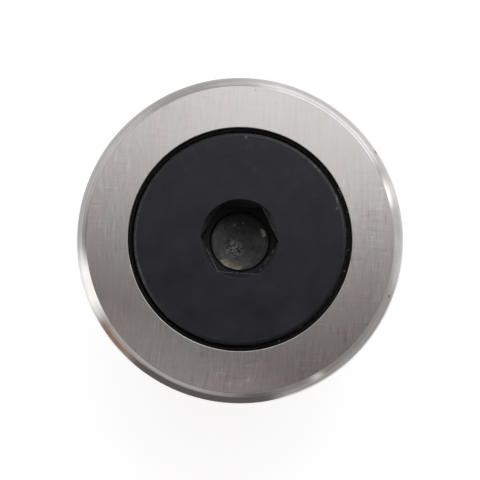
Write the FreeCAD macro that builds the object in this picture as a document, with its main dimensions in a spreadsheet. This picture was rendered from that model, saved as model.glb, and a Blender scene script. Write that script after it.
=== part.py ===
# Forklift mast roller: a thick steel tyre ring that runs on two full rows of cylindrical rollers
# round a stud. The stud has a flanged head with a hexagon socket in front, and behind the ring a
# plain spigot and a thread that fasten it to the mast.
#
# Millimetres. +Z runs up the axis from the threaded end to the head. Z = 0 is the back of the
# thrust ring, the face that seats on the mast, so the spigot and the thread lie below it.

import FreeCAD
import Part
import Sketcher
import math
import os

# Driving dimensions: alias, size in millimetres (angles in degrees), what it measures.
DRIVING = [
    ("ring_outer_diameter", 68.0, "outer ring, across the tread"),
    ("ring_width", 28.0, "outer ring, face to face"),
    ("tread_corner_width", 2.2, "rounded corner of the tread, measured along the face"),
    ("tread_corner_radius", 4.0, "radius of that corner, tangent to the tread"),
    ("bore_edge_chamfer", 0.2, "broken edge where the ring's bore meets its face"),
    ("rib_width", 2.4, "rib in the middle of the ring's raceway"),
    ("rib_height", 3.2, "height of that rib over the raceway"),
    ("roller_diameter", 8.0, "one roller"),
    ("roller_spacing", 0.05, "least gap between two rollers of a row"),
    ("raceway_clearance", 0.03, "between a roller and either raceway, on the radius"),
    ("roller_end_clearance", 0.05, "at each end of a roller"),
    ("raceway_overrun", 0.3, "raceway left past the rollers' ends"),
    ("spigot_diameter", 24.0, "plain part of the stud behind the ring"),
    ("spigot_length", 25.0, "spigot, from the seat face"),
    ("thread_undersize", 0.05, "thread's major diameter under the spigot's"),
    ("thread_length", 21.5, "full thread with its end chamfer"),
    ("thread_chamfer", 1.6, "chamfer at the thread's end"),
    ("relief_length", 3.5, "groove where the thread runs out"),
    ("relief_depth", 1.2, "depth of that groove under the spigot"),
    ("undercut_length", 1.5, "ground undercut of the spigot, below the seat face"),
    ("undercut_depth", 0.3, "depth of that undercut"),
    ("centre_hole_diameter", 5.0, "lathe centre in the stud's end, at its mouth"),
    ("centre_hole_angle", 60.0, "cone of the lathe centre"),
    ("seat_step", 0.8, "thrust ring's seat over the spigot, on the radius"),
    ("seat_setback", 0.3, "end of that seat, short of the seat face"),
    ("journal_shoulder", 1.3, "roller journal over the thrust ring's seat, on the radius"),
    ("flange_thickness", 5.3, "head of the stud, and thrust ring"),
    ("flange_proud", 0.5, "head and thrust ring, out of the ring's faces"),
    ("flange_chamfer", 0.6, "outer edge of the head and of the thrust ring"),
    ("thrust_bore_chamfer", 0.5, "lead-in at both ends of the thrust ring's bore"),
    ("hex_across_flats", 14.0, "socket in the head"),
    ("hex_depth", 8.0, "socket, from the head's face"),
    ("hex_mouth_margin", 0.15, "round mouth outside the socket's corners, on the radius"),
    ("pilot_allowance", 1.0, "wall of the hole drilled for the socket, inside its flats"),
    ("pilot_extra_depth", 2.5, "pilot below the socket's floor"),
    ("drill_point_angle", 118.0, "bottom of the pilot"),
    ("seal_shoulder", 0.95, "step from the raceway out to the seal's seat"),
    ("seal_section", 1.1, "seal's seat to the flange that its lip runs on"),
    ("seal_recess", 1.2, "seal's face below the ring's face"),
    ("seal_lip_clearance", 0.1, "lip to flange"),
    ("seal_lip_land", 0.4, "width of the lip's running edge"),
    ("seal_lip_bevel", 0.45, "slope from the lip to the seal's face, and to its hollow back"),
]

doc = FreeCAD.newDocument("mast_roller")
sheet = doc.addObject("Spreadsheet::Sheet", "Size")
for row, (alias, value, meaning) in enumerate(DRIVING, start=1):
    sheet.set(f"A{row}", alias)
    sheet.set(f"B{row}", str(value))
    sheet.setAlias(f"B{row}", alias)
    sheet.set(f"C{row}", meaning)
doc.recompute()

# Radii that follow from the spigot outwards, as expressions on the sheet.
SPIGOT = "(Size.spigot_diameter / 2)"
THREAD = f"({SPIGOT} - Size.thread_undersize / 2)"
RELIEF = f"({SPIGOT} - Size.relief_depth)"
SEAT = f"({SPIGOT} + Size.seat_step)"
JOURNAL = f"({SEAT} + Size.journal_shoulder)"
ROLLER = "(Size.roller_diameter / 2)"
PITCH = f"({JOURNAL} + Size.raceway_clearance + {ROLLER})"
RACEWAY = f"({PITCH} + {ROLLER} + Size.raceway_clearance)"
RIB = f"({RACEWAY} - Size.rib_height)"
SEAL_SEAT = f"({RACEWAY} + Size.seal_shoulder)"
FLANGE = f"({SEAL_SEAT} - Size.seal_section)"
TREAD = "(Size.ring_outer_diameter / 2)"

# Heights along the axis.
RING_BACK = "Size.flange_proud"
RING_FRONT = f"({RING_BACK} + Size.ring_width)"
RING_MIDDLE = f"({RING_BACK} + Size.ring_width / 2)"
HEAD_FRONT = f"({RING_FRONT} + Size.flange_proud)"
HEAD_BACK = f"({HEAD_FRONT} - Size.flange_thickness)"
SOCKET_FLOOR = f"({HEAD_FRONT} - Size.hex_depth)"
THRUST_FRONT = "Size.flange_thickness"
RELIEF_TOP = "(-Size.spigot_length)"
THREAD_TOP = f"({RELIEF_TOP} - Size.relief_length)"
STUD_END = f"({THREAD_TOP} - Size.thread_length)"


def number(expression):
    """Present value of an expression on the sheet."""
    return float(sheet.evalExpression(expression))


def closed_outline(body, name, plane, corners, arcs=None):
    """Sketch a closed outline on one of the body's origin planes.

    corners: x and y expressions, counter-clockwise. arcs: radius expression of each side that is
    a convex arc, keyed by the corner that it starts from.
    """
    arcs = arcs or {}
    sketch = body.newObject("Sketcher::SketchObject", name)
    support = next(item for item in body.Origin.OriginFeatures if item.Role == plane)
    sketch.AttachmentSupport = [(support, "")]
    sketch.MapMode = "FlatFace"
    points = [FreeCAD.Vector(number(x), number(y), 0) for x, y in corners]
    for side, start in enumerate(points):
        end = points[(side + 1) % len(points)]
        if side in arcs:
            sketch.addGeometry(convex_arc(start, end, number(arcs[side])))
        else:
            sketch.addGeometry(Part.LineSegment(start, end))
    for side, corner in enumerate(corners):
        following = (side + 1) % len(corners)
        sketch.addConstraint(Sketcher.Constraint("Coincident", side, 2, following, 1))
        for axis, line, expression in zip("XY", (-2, -1), corner):
            if expression == "0":
                sketch.addConstraint(Sketcher.Constraint("PointOnObject", side, 1, line))
                continue
            place = Sketcher.Constraint("Distance" + axis, side, 1, number(expression))
            bind(sketch, place, f"corner_{side}_{axis.lower()}", expression)
        if side in arcs:
            radius = Sketcher.Constraint("Radius", side, number(arcs[side]))
            bind(sketch, radius, f"arc_{side}", arcs[side])
    return sketch


def bind(sketch, constraint, name, expression):
    """Add a named dimension to the sketch and tie it to the sheet."""
    index = sketch.addConstraint(constraint)
    sketch.renameConstraint(index, name)
    sketch.setExpression(f"Constraints.{name}", expression)


def convex_arc(start, end, radius):
    """Arc from start to end that bulges out of a counter-clockwise outline."""
    chord = end - start
    half = chord.Length / 2
    inward = FreeCAD.Vector(-chord.y, chord.x, 0).normalize()
    centre = start + chord / 2 + inward * math.sqrt(radius**2 - half**2)
    first = math.atan2(start.y - centre.y, start.x - centre.x)
    last = math.atan2(end.y - centre.y, end.x - centre.x)
    circle = Part.Circle(centre, FreeCAD.Vector(0, 0, 1), radius)
    return Part.ArcOfCircle(circle, first, last)


def turned(label, corners, arcs=None):
    """Body turned about Z from the right half of its section."""
    body = doc.addObject("PartDesign::Body", label)
    body.Label = label
    section = closed_outline(body, label + "_section", "XZ_Plane", corners, arcs)
    blank = body.newObject("PartDesign::Revolution", label + "_turned")
    blank.Profile = section
    blank.ReferenceAxis = (section, ["V_Axis"])
    blank.Angle = 360
    section.Visibility = False
    return body


def outer_ring():
    """Tyre ring: rounded tread, a seal seat at each end of its bore and a rib between the raceways."""
    # A corner of the tread is an arc that meets the tread flush and the face at an edge.
    wall = f"({TREAD} - {SEAL_SEAT} - Size.bore_edge_chamfer)"
    across = f"min(Size.tread_corner_width; {wall} / 2)"
    radius = f"max(Size.tread_corner_radius; {across})"
    along = f"sqrt({radius} ^ 2 - ({radius} - {across}) ^ 2)"
    face_edge = f"({TREAD} - {across})"
    mouth = f"({SEAL_SEAT} + Size.bore_edge_chamfer)"
    front_shoulder = f"({HEAD_BACK} + Size.raceway_overrun)"
    back_shoulder = f"({THRUST_FRONT} - Size.raceway_overrun)"
    rib_front = f"({RING_MIDDLE} + Size.rib_width / 2)"
    rib_back = f"({RING_MIDDLE} - Size.rib_width / 2)"
    corners = [
        (mouth, RING_BACK),
        (face_edge, RING_BACK),
        (TREAD, f"({RING_BACK} + {along})"),
        (TREAD, f"({RING_FRONT} - {along})"),
        (face_edge, RING_FRONT),
        (mouth, RING_FRONT),
        (SEAL_SEAT, f"({RING_FRONT} - Size.bore_edge_chamfer)"),
        (SEAL_SEAT, front_shoulder),
        (RACEWAY, front_shoulder),
        (RACEWAY, rib_front),
        (RIB, rib_front),
        (RIB, rib_back),
        (RACEWAY, rib_back),
        (RACEWAY, back_shoulder),
        (SEAL_SEAT, back_shoulder),
        (SEAL_SEAT, f"({RING_BACK} + Size.bore_edge_chamfer)"),
    ]
    return turned("outer_ring", corners, {1: radius, 3: radius})


def stud():
    """Stud: flanged head, roller journal, seat of the thrust ring, spigot, thread and hexagon socket."""
    seat_end = "Size.seat_setback"
    centre_radius = "(Size.centre_hole_diameter / 2)"
    centre_depth = f"({centre_radius} / tan(Size.centre_hole_angle / 2))"
    undercut = f"({SPIGOT} - Size.undercut_depth)"
    undercut_end = "(-Size.undercut_length)"
    flat = "(Size.hex_across_flats / 2)"
    circumradius = f"({flat} / cos(30))"
    mouth = f"({circumradius} + Size.hex_mouth_margin)"
    pilot = f"({flat} - Size.pilot_allowance)"
    pilot_floor = f"({SOCKET_FLOOR} - Size.pilot_extra_depth)"
    drill_tip = f"({pilot_floor} - {pilot} / tan(Size.drill_point_angle / 2))"
    corners = [
        ("0", f"({STUD_END} + {centre_depth})"),
        (centre_radius, STUD_END),
        (f"({THREAD} - Size.thread_chamfer)", STUD_END),
        (THREAD, f"({STUD_END} + Size.thread_chamfer)"),
        (THREAD, f"({THREAD_TOP} - Size.relief_depth)"),
        (RELIEF, THREAD_TOP),
        (RELIEF, f"({RELIEF_TOP} - Size.relief_depth)"),
        (SPIGOT, RELIEF_TOP),
        (SPIGOT, f"({undercut_end} - Size.undercut_depth)"),
        (undercut, undercut_end),
        (undercut, seat_end),
        (SEAT, seat_end),
        (SEAT, THRUST_FRONT),
        (JOURNAL, THRUST_FRONT),
        (JOURNAL, HEAD_BACK),
        (FLANGE, HEAD_BACK),
        (FLANGE, f"({HEAD_FRONT} - Size.flange_chamfer)"),
        (f"({FLANGE} - Size.flange_chamfer)", HEAD_FRONT),
        (mouth, HEAD_FRONT),
        (pilot, f"({HEAD_FRONT} - {mouth} + {pilot})"),
        (pilot, pilot_floor),
        ("0", drill_tip),
    ]
    body = turned("stud", corners)
    doc.recompute()
    turned_volume = body.Shape.Volume

    # The socket's corners lie on the X axis and 60 degrees apart.
    half = f"({circumradius} / 2)"
    hexagon = [
        (circumradius, "0"),
        (half, flat),
        (f"(-{half})", flat),
        (f"(-{circumradius})", "0"),
        (f"(-{half})", f"(-{flat})"),
        (half, f"(-{flat})"),
    ]
    outline = closed_outline(body, "socket_outline", "XY_Plane", hexagon)
    outline.setExpression("AttachmentOffset.Base.z", HEAD_FRONT)
    socket = body.newObject("PartDesign::Pocket", "socket")
    socket.Profile = outline
    socket.Type = "Length"
    socket.setExpression("Length", "Size.hex_depth")
    outline.Visibility = False
    doc.recompute()
    if body.Shape.Volume >= turned_volume:
        raise RuntimeError("the socket cuts nothing out of the stud's head")
    return body


def thrust_ring():
    """Ring pressed on the stud behind the rear rollers: its back face seats on the mast."""
    edge = f"({FLANGE} - Size.flange_chamfer)"
    lead_in = f"({SEAT} + Size.thrust_bore_chamfer)"
    corners = [
        (lead_in, "0"),
        (edge, "0"),
        (FLANGE, "Size.flange_chamfer"),
        (FLANGE, THRUST_FRONT),
        (lead_in, THRUST_FRONT),
        (SEAT, f"({THRUST_FRONT} - Size.thrust_bore_chamfer)"),
        (SEAT, "Size.thrust_bore_chamfer"),
    ]
    return turned("thrust_ring", corners)


def seal(label, face, shoulder, outward):
    """Lip seal, pressed into the ring against the shoulder, its lip round the flange.

    face and shoulder are heights; outward is 1 where the face looks along +Z and -1 otherwise.
    """
    lip = f"({FLANGE} + Size.seal_lip_clearance)"
    hollow = f"({lip} + Size.seal_lip_bevel)"
    lip_start = f"({face} - {outward} * Size.seal_lip_bevel)"
    lip_end = f"({lip_start} - {outward} * Size.seal_lip_land)"
    hollow_start = f"({lip_end} - {outward} * Size.seal_lip_bevel)"
    corners = [
        (SEAL_SEAT, shoulder),
        (SEAL_SEAT, face),
        (hollow, face),
        (lip, lip_start),
        (lip, lip_end),
        (hollow, hollow_start),
        (hollow, shoulder),
    ]
    if outward < 0:
        corners.reverse()
    return turned(label, corners)


def roller_row(prefix, low, high, first_share):
    """Full row of rollers between two heights; first_share turns it by that part of a spacing."""
    pitch = number(PITCH)
    least_step = 2 * math.asin((number("Size.roller_diameter + Size.roller_spacing") / 2) / pitch)
    count = int(2 * math.pi / least_step)
    corners = [("0", low), (ROLLER, low), (ROLLER, high), ("0", high)]
    rollers = []
    for index in range(count):
        roller = turned(f"{prefix}_roller_{index + 1:02d}", corners)
        angle = f"(360 * {index + first_share} / {count})"
        roller.setExpression("Placement.Base.x", f"{PITCH} * cos({angle})")
        roller.setExpression("Placement.Base.y", f"{PITCH} * sin({angle})")
        rollers.append(roller)
    return rollers


def write_solids(bodies):
    """Check the whole document, then write one STEP file for each body."""
    doc.recompute()
    for item in doc.Objects:
        if "Invalid" in item.State or "Error" in item.State:
            raise RuntimeError(f"{item.Label} failed: {item.State}")
    for body in bodies:
        shape = body.Shape
        if shape.isNull() or not shape.isValid() or len(shape.Solids) != 1:
            raise RuntimeError(f"{body.Label} is not one sound solid")
    os.makedirs("parts", exist_ok=True)
    for body in bodies:
        body.Shape.exportStep(f"parts/{body.Label}.step")
        print(f"{body.Label}: {body.Shape.Volume:.2f} mm3")


rib_side = "(Size.rib_width / 2 + Size.roller_end_clearance)"
pieces = [outer_ring(), stud(), thrust_ring()]
pieces.append(seal("front_seal", f"({RING_FRONT} - Size.seal_recess)",
                   f"({HEAD_BACK} + Size.raceway_overrun)", 1))
pieces.append(seal("rear_seal", f"({RING_BACK} + Size.seal_recess)",
                   f"({THRUST_FRONT} - Size.raceway_overrun)", -1))
pieces += roller_row("front", f"({RING_MIDDLE} + {rib_side})",
                     f"({HEAD_BACK} - Size.roller_end_clearance)", 0)
pieces += roller_row("rear", f"({THRUST_FRONT} + Size.roller_end_clearance)",
                     f"({RING_MIDDLE} - {rib_side})", 0.5)
write_solids(pieces)
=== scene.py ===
# Mast roller: a ground steel ring that runs on hidden rollers round a black stud with a hexagon socket.
# Metres in the CAD frame: +Z runs up the stud, z = 0 is the back of the thrust ring, the thread points down.
# Sizes in the dictionaries are millimetres and degrees. Only the distance of camera and lamp, the lamp's and
# the floor's size and the cards' reach are metres.
import math

import bpy
import numpy as np
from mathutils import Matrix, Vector


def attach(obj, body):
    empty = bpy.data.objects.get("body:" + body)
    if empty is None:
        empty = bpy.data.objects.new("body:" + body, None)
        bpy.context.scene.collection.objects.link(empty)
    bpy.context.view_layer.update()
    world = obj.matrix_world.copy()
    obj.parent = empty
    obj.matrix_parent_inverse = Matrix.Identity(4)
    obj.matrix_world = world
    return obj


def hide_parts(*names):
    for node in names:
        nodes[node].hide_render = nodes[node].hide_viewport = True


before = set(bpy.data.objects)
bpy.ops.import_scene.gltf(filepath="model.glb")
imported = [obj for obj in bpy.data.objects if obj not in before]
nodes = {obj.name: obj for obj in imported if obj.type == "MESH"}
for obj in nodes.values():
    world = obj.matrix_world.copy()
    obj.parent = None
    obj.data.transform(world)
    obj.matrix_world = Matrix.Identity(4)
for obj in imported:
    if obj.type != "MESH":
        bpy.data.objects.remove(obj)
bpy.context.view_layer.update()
mm = 0.001
tiny = 1e-6  # keeps a division by nothing away
sharpAngle = math.radians(32)  # edges that turn by more than this stay sharp
print("frame loaded with", len(nodes), "nodes")


# Outline in (radius, height). A corner is (radius, height, edge round, finish of the side that follows).
# Each corner with an edge round becomes an arc of that radius that touches both sides, and a point a little
# way along each side keeps the flats flat. Gives the points and the finish of the side after each point.
def roundedOutline(corners, steps=4, hold=0.03):
    points, finishes = [], []
    count = len(corners)
    for k, (radius, height, edge, finish) in enumerate(corners):
        here = np.array((radius, height), float)
        if edge == 0:
            points.append(here[None])
            finishes += [finish]
            continue
        before = np.array(corners[k - 1][:2], float) - here
        after = np.array(corners[(k + 1) % count][:2], float) - here
        before /= np.linalg.norm(before)
        after /= np.linalg.norm(after)
        half = math.acos(np.clip(before @ after, -1, 1)) / 2
        reach = edge / math.tan(half)
        middle = before + after
        centre = here + middle / np.linalg.norm(middle) * edge / math.sin(half)
        first = here + before * reach - centre
        last = here + after * reach - centre
        start = math.atan2(first[1], first[0])
        sweep = (math.atan2(last[1], last[0]) - start + math.pi) % (2 * math.pi) - math.pi
        turn = start + sweep * np.linspace(0, 1, steps + 1)
        arc = centre + edge * np.stack([np.cos(turn), np.sin(turn)], 1)
        points += [(here + before * (reach + hold))[None], arc, (here + after * (reach + hold))[None]]
        old = corners[k - 1][3]
        finishes += [old] * (1 + steps // 2) + [finish] * (steps - steps // 2 + 2)
    return np.concatenate(points), np.array(finishes)


# Corners of an arc from one angle to another, in degrees, as bare points of an outline.
def arcCorners(centre, radius, first, last, steps, finish):
    turn = np.radians(np.linspace(first, last, steps + 1))
    return [(centre[0] + radius * math.cos(t), centre[1] + radius * math.sin(t), 0, finish) for t in turn]


# Angles of the columns of a turned surface, all the way round.
def wholeTurn(columns):
    return np.linspace(0, 2 * np.pi, columns, endpoint=False)


# Point (i, j) of a turned surface = (radius i * cos angle j, radius i * sin angle j, height i).
# Radii and heights may also change with the angle, as on a hexagon or a thread.
def turnedGrid(radii, heights, angles):
    radii = np.broadcast_to(radii, (len(radii), len(angles)))
    heights = np.broadcast_to(heights, radii.shape)
    return np.stack([radii * np.cos(angles), radii * np.sin(angles), heights], -1) * mm


# Skin over a grid whose columns close on themselves. Without tips the rows close on each other too, as in a
# ring; with tips, two points, each end row is drawn together in one of them.
def skin(name, grid, finishes, materials, tips=None):
    ringSection = tips is None
    rows, columns = grid.shape[:2]
    ids = np.arange(rows * columns).reshape(rows, columns)
    lower = ids if ringSection else ids[:-1]
    upper = np.roll(ids, -1, 0) if ringSection else ids[1:]
    quads = np.stack([lower, np.roll(lower, -1, 1), np.roll(upper, -1, 1), upper], -1).reshape(-1, 4)
    verts = grid.reshape(-1, 3)
    faces = quads.tolist()
    looks = np.repeat(finishes[:len(lower)], columns)
    if not ringSection:
        first, last = ids[0], ids[-1]
        lowFan = np.stack([np.roll(first, -1), first, np.full(columns, len(verts))], 1)
        highFan = np.stack([last, np.roll(last, -1), np.full(columns, len(verts) + 1)], 1)
        verts = np.concatenate([verts, tips])
        faces += lowFan.tolist() + highFan.tolist()
        looks = np.concatenate([looks, np.full(columns, finishes[0]), np.full(columns, finishes[-1])])
    mesh = bpy.data.meshes.new(name)
    mesh.from_pydata(verts.tolist(), [], faces)
    for material in materials:
        mesh.materials.append(material)
    mesh.polygons.foreach_set("material_index", looks.astype(np.int32))
    mesh.polygons.foreach_set("use_smooth", np.ones(len(mesh.polygons), bool))
    mesh.set_sharp_from_angle(angle=sharpAngle)
    mesh.update()
    piece = bpy.data.objects.new(name, mesh)
    bpy.context.scene.collection.objects.link(piece)
    return piece


# Ring whose section is the outline through the corners, with its edges rounded, turned about Z.
def turnedRing(name, corners, columns, materials):
    outline, finishes = roundedOutline(corners)
    grid = turnedGrid(outline[:, :1], outline[:, 1:], wholeTurn(columns))
    return skin(name, grid, finishes, materials)


def addNode(tree, kind, inputs=None, **settings):
    made = tree.nodes.new("ShaderNode" + kind)
    for key, value in settings.items():
        setattr(made, key, value)
    for key, value in (inputs or {}).items():
        if isinstance(value, bpy.types.NodeSocket):
            tree.links.new(value, made.inputs[key])
        else:
            made.inputs[key].default_value = value
    return made


def calc(tree, operation, first, second=0.0, third=0.0):
    return addNode(tree, "Math", {0: first, 1: second, 2: third}, operation=operation).outputs[0]


def emptyMaterial(name):
    material = bpy.data.materials.new(name)
    material.use_nodes = True
    material.node_tree.nodes.clear()
    return material, material.node_tree


def newMaterial(name, **sockets):
    material, tree = emptyMaterial(name)
    shader = addNode(tree, "BsdfPrincipled", sockets)
    end = addNode(tree, "OutputMaterial")
    tree.links.new(shader.outputs[0], end.inputs[0])
    return material, tree, shader


# Shows another shader in place of the one that a material was made with.
def showInstead(tree, shader):
    end = next(node for node in tree.nodes if node.type == "OUTPUT_MATERIAL")
    tree.links.new(shader.outputs[0], end.inputs[0])


def objectPlace(tree):
    return addNode(tree, "TexCoord").outputs["Object"]


noiseMiddle = 0.5  # what a noise is on average
roughSpread = (0.35, 0.65)  # the part of a noise that goes from a finish's least roughness to its most
markSoft = 0.9  # share of a small mark's radius over which it fades


def noise(tree, place, detail, rough):
    return addNode(tree, "TexNoise", {"Vector": place, "Scale": 1.0, "Detail": detail,
                                      "Roughness": rough}).outputs["Fac"]


# Noise drawn out into lines: width of a line, its length and depth, and its turn about Z.
def lines(tree, width, length, turn=0.0, detail=2.0, rough=0.6):
    drawn = {"Vector": objectPlace(tree), "Rotation": (0, 0, math.radians(turn)),
             "Scale": (width * mm, length * mm, length * mm)}
    spread = addNode(tree, "Mapping", drawn, vector_type="TEXTURE")
    return noise(tree, spread.outputs[0], detail, rough)


# Noise in patches of about one size.
def patches(tree, size, detail=3.0):
    return lines(tree, size, size, 0.0, detail)


# Place for lines that run round the axis: the direction from the axis times a reach, and radius or height.
def roundPlace(tree, across, reach):
    x, y, z = addNode(tree, "SeparateXYZ", {0: objectPlace(tree)}).outputs
    radius = calc(tree, "SQRT", calc(tree, "ADD", calc(tree, "MULTIPLY", x, x), calc(tree, "MULTIPLY", y, y)))
    radius = calc(tree, "MAXIMUM", radius, tiny)
    step = radius if across == "radius" else z
    if across == "both":
        step = calc(tree, "ADD", radius, z)
    return addNode(tree, "CombineXYZ", {
        0: calc(tree, "MULTIPLY", calc(tree, "DIVIDE", x, radius), reach * mm),
        1: calc(tree, "MULTIPLY", calc(tree, "DIVIDE", y, radius), reach * mm),
        2: step}).outputs[0]


# Noise drawn out into lines round the axis, side by side along the radius, the height or both.
def roundLines(tree, width, across, reach, detail=3.0, rough=0.65):
    place = roundPlace(tree, across, reach)
    spread = addNode(tree, "Mapping", {"Vector": place, "Scale": (mm, mm, width * mm)}, vector_type="TEXTURE")
    return noise(tree, spread.outputs[0], detail, rough)


# Linear change of a value from one range to another, held at the ends.
def fit(tree, value, low, high, toLow, toHigh):
    return addNode(tree, "MapRange", {"Value": value, "From Min": low, "From Max": high,
                                      "To Min": toLow, "To Max": toHigh}).outputs[0]


# Sum of noises, each times its share.
def weighed(tree, *pairs):
    total = 0.0
    for value, share in pairs:
        total = calc(tree, "MULTIPLY_ADD", value, share, total)
    return total


def blendColour(tree, amount, first, second, how="MIX"):
    made = addNode(tree, "Mix", {0: amount, 6: first, 7: second}, data_type="RGBA", blend_type=how)
    return made.outputs[2]


# Colour from a finish's dark end to its light end, as the tone goes over that finish's spread.
def toneColour(tree, tone, finish):
    return blendColour(tree, fit(tree, tone, *finish["spread"], 0.0, 1.0), finish["dark"], finish["light"])


def bump(tree, height, depth, strength=1.0):
    return addNode(tree, "Bump", {"Height": height, "Distance": depth * mm, "Strength": strength}).outputs[0]


# Gives a shader its colour, a roughness that goes with the tone, and the relief of a finish.
def dress(tree, shader, finish, colour, tone, height):
    tree.links.new(colour, shader.inputs["Base Color"])
    tree.links.new(fit(tree, tone, *roughSpread, *finish["rough"]), shader.inputs["Roughness"])
    tree.links.new(bump(tree, height, finish["depth"]), shader.inputs["Normal"])


# Soft spot: 1 near a point, 0 past a radius, and between them over the soft share of that radius.
def spot(tree, centre, radius, soft):
    gap = addNode(tree, "VectorMath", {0: objectPlace(tree), 1: tuple(c * mm for c in centre)},
                  operation="DISTANCE").outputs["Value"]
    return fit(tree, gap, radius * mm * (1 - soft), radius * mm, 1.0, 0.0)


camera = {"turn": 4.0, "tilt": 86.5, "distance": 0.5, "aimHeight": 25.0, "ringRadius": 34.0,
          "ringPixels": 163.26, "imagePixels": 480, "sensor": 36.0}


def viewDirection(turn, tilt):
    a, e = math.radians(turn), math.radians(tilt)
    return Vector((math.sin(a) * math.cos(e), -math.cos(a) * math.cos(e), math.sin(e)))


# The lens makes the ring's radius as many pixels as it has in the picture.
def makeCamera():
    data = bpy.data.cameras.new("camera")
    data.sensor_width = camera["sensor"]
    pixels = camera["ringPixels"] * camera["distance"] / (camera["ringRadius"] * mm)
    data.lens = pixels * camera["sensor"] / camera["imagePixels"]
    eye = bpy.data.objects.new("camera", data)
    back = viewDirection(camera["turn"], camera["tilt"])
    eye.location = Vector((0, 0, camera["aimHeight"] * mm)) + back * camera["distance"]
    eye.rotation_mode = "QUATERNION"
    eye.rotation_quaternion = (-back).to_track_quat("-Z", "Y")
    bpy.context.scene.collection.objects.link(eye)
    bpy.context.scene.camera = eye


makeCamera()
print("camera set")


# Place given as seen in the picture: millimetres right of the axis, millimetres up from it, and the height.
def pictureSpot(right, up, height):
    c, s = math.cos(math.radians(camera["turn"])), math.sin(math.radians(camera["turn"]))
    return (right * c - up * s, right * s + up * c, height)


# Direction as seen in the picture: degrees clockwise from its right, and degrees above the floor.
def pictureDirection(around, above):
    a, e = math.radians(around), math.radians(above)
    return Vector(pictureSpot(math.cos(a) * math.cos(e), -math.sin(a) * math.cos(e), math.sin(e)))


# Place given as seen in the picture by its angle, its distance from the axis and its height.
def roundSpot(around, radius, height):
    a = math.radians(around)
    return pictureSpot(radius * math.cos(a), -radius * math.sin(a), height)


# Level that changes along a direction of the picture, between two distances past the axis.
def alongPicture(tree, around, near, far, nearLevel, farLevel):
    along = addNode(tree, "VectorMath", {0: objectPlace(tree), 1: pictureDirection(around, 0)},
                    operation="DOT_PRODUCT").outputs["Value"]
    return fit(tree, along, near * mm, far * mm, nearLevel, farLevel)


# Colour times a level.
def dim(tree, colour, level):
    grey = addNode(tree, "CombineColor", {0: level, 1: level, 2: level}).outputs[0]
    return blendColour(tree, 1.0, colour, grey, "MULTIPLY")


# Colour with small marks of another colour: each mark is a place and a radius.
def addMarks(tree, colour, marks, markColour, strength):
    for place, size in marks:
        mark = calc(tree, "MULTIPLY", spot(tree, place, size, markSoft), strength)
        colour = blendColour(tree, mark, colour, markColour)
    return colour


ring = {"tread": 34.0, "faceEdge": 31.8, "front": 28.5, "back": 0.5, "cornerRadius": 4.0, "cornerSteps": 24,
        "treadRows": 12, "edgeRound": 0.12, "mouth": 23.26, "seat": 23.11, "mouthCut": 0.15,
        "mouthRound": 0.15, "raceway": 22.16, "frontStep": 24.0, "backStep": 5.0, "rib": 18.96,
        "ribFront": 15.7, "ribBack": 13.3, "columns": 384}
ringMiddle = (ring["front"] + ring["back"]) / 2

# Strokes are width, length, turn and share. Sides are what alongPicture takes: direction, near, far, levels.
# A scuff is a turn and a side, a painted shade a side and its tint, a pit or nick its place in the picture
# and its size.
faceSteel = {
    "light": (0.656, 0.641, 0.617, 1), "dark": (0.582, 0.567, 0.546, 1), "spread": (0.36, 0.64),
    "strokes": [(0.22, 5.0, 0.0, 0.4), (0.5, 16.0, -1.5, 0.2),
                (0.22, 4.5, 88.0, 0.1), (0.25, 6.0, -9.0, 0.3)],
    "tintLines": (1.3, 5.0), "tintSpread": (0.4, 0.6),
    "warm": (1.0, 0.97, 0.97, 1), "cool": (0.97, 0.99, 0.965, 1),
    "scuffLines": (0.42, 4.5), "scuffPatch": 3.0, "scuffSpread": (0.42, 0.6), "scuffLevels": (0.25, 1.0),
    "scuffs": [(-9, (55, 2.0, 16.0, 0.0, 4.6)), (2, (40, 2.0, 16.0, 0.0, 4.5)),
               (90, (40, 2.0, 16.0, 0.0, 4.0)), (88, (215, 6.0, 24.0, 0.0, 2.0)),
               (3, (200, 4.0, 20.0, 0.0, 3.0)),
               (-9, (158, 4.0, 20.0, 0.0, 3.2)), (86, (148, 6.0, 22.0, 0.0, 2.0))],
    "shadeTints": [((55, 6.0, 28.0, 0.0, 1.0), (0.97, 0.915, 0.926, 1)),
                ((190, 6.0, 24.0, 0.0, 1.0), (0.905, 0.883, 0.892, 1)),
                ((28, 16.0, 28.0, 0.0, 1.0), (0.87, 0.87, 0.875, 1)),
                ((100, 4.0, 20.0, 0.0, 1.0), (0.925, 0.92, 0.92, 1))],
    "haze": (112, 21.0, 32.0, 0.0, 1.0), "hazeRough": 0.265, "hazePaintedLight": 0.2,
    "rough": (0.16, 0.225), "softRough": 0.28, "softShare": 0.28, "depth": 0.0025,
    "upSheen": (0.28, 8.0, -2.0), "upShare": 0.5, "acrossSheen": (0.25, 6.0, 90.0),
    "acrossSide": (70, -16.0, 16.0, 0.14, 0.42), "cloudSize": 9.0, "cloudShare": 0.13, "sheenBase": 0.185,
    "pit": (0.12, 0.11, 0.11, 1), "pitStrength": 0.5,
    "pits": [(3.2, 31.0, 0.24), (7.5, 28.3, 0.2), (-11.5, -27.6, 0.2)],
    "nick": (0.78, 0.77, 0.76, 1), "nickStrength": 0.35,
    "nicks": [(-21.1, 21.2, 0.22), (-20.9, 20.7, 0.24), (-20.7, 20.2, 0.3), (-20.55, 19.8, 0.36),
              (-20.45, 19.4, 0.3), (-20.2, 18.6, 0.22), (-22.8, -6.8, 0.35), (-21.9, -8.6, 0.3)]}
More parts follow.
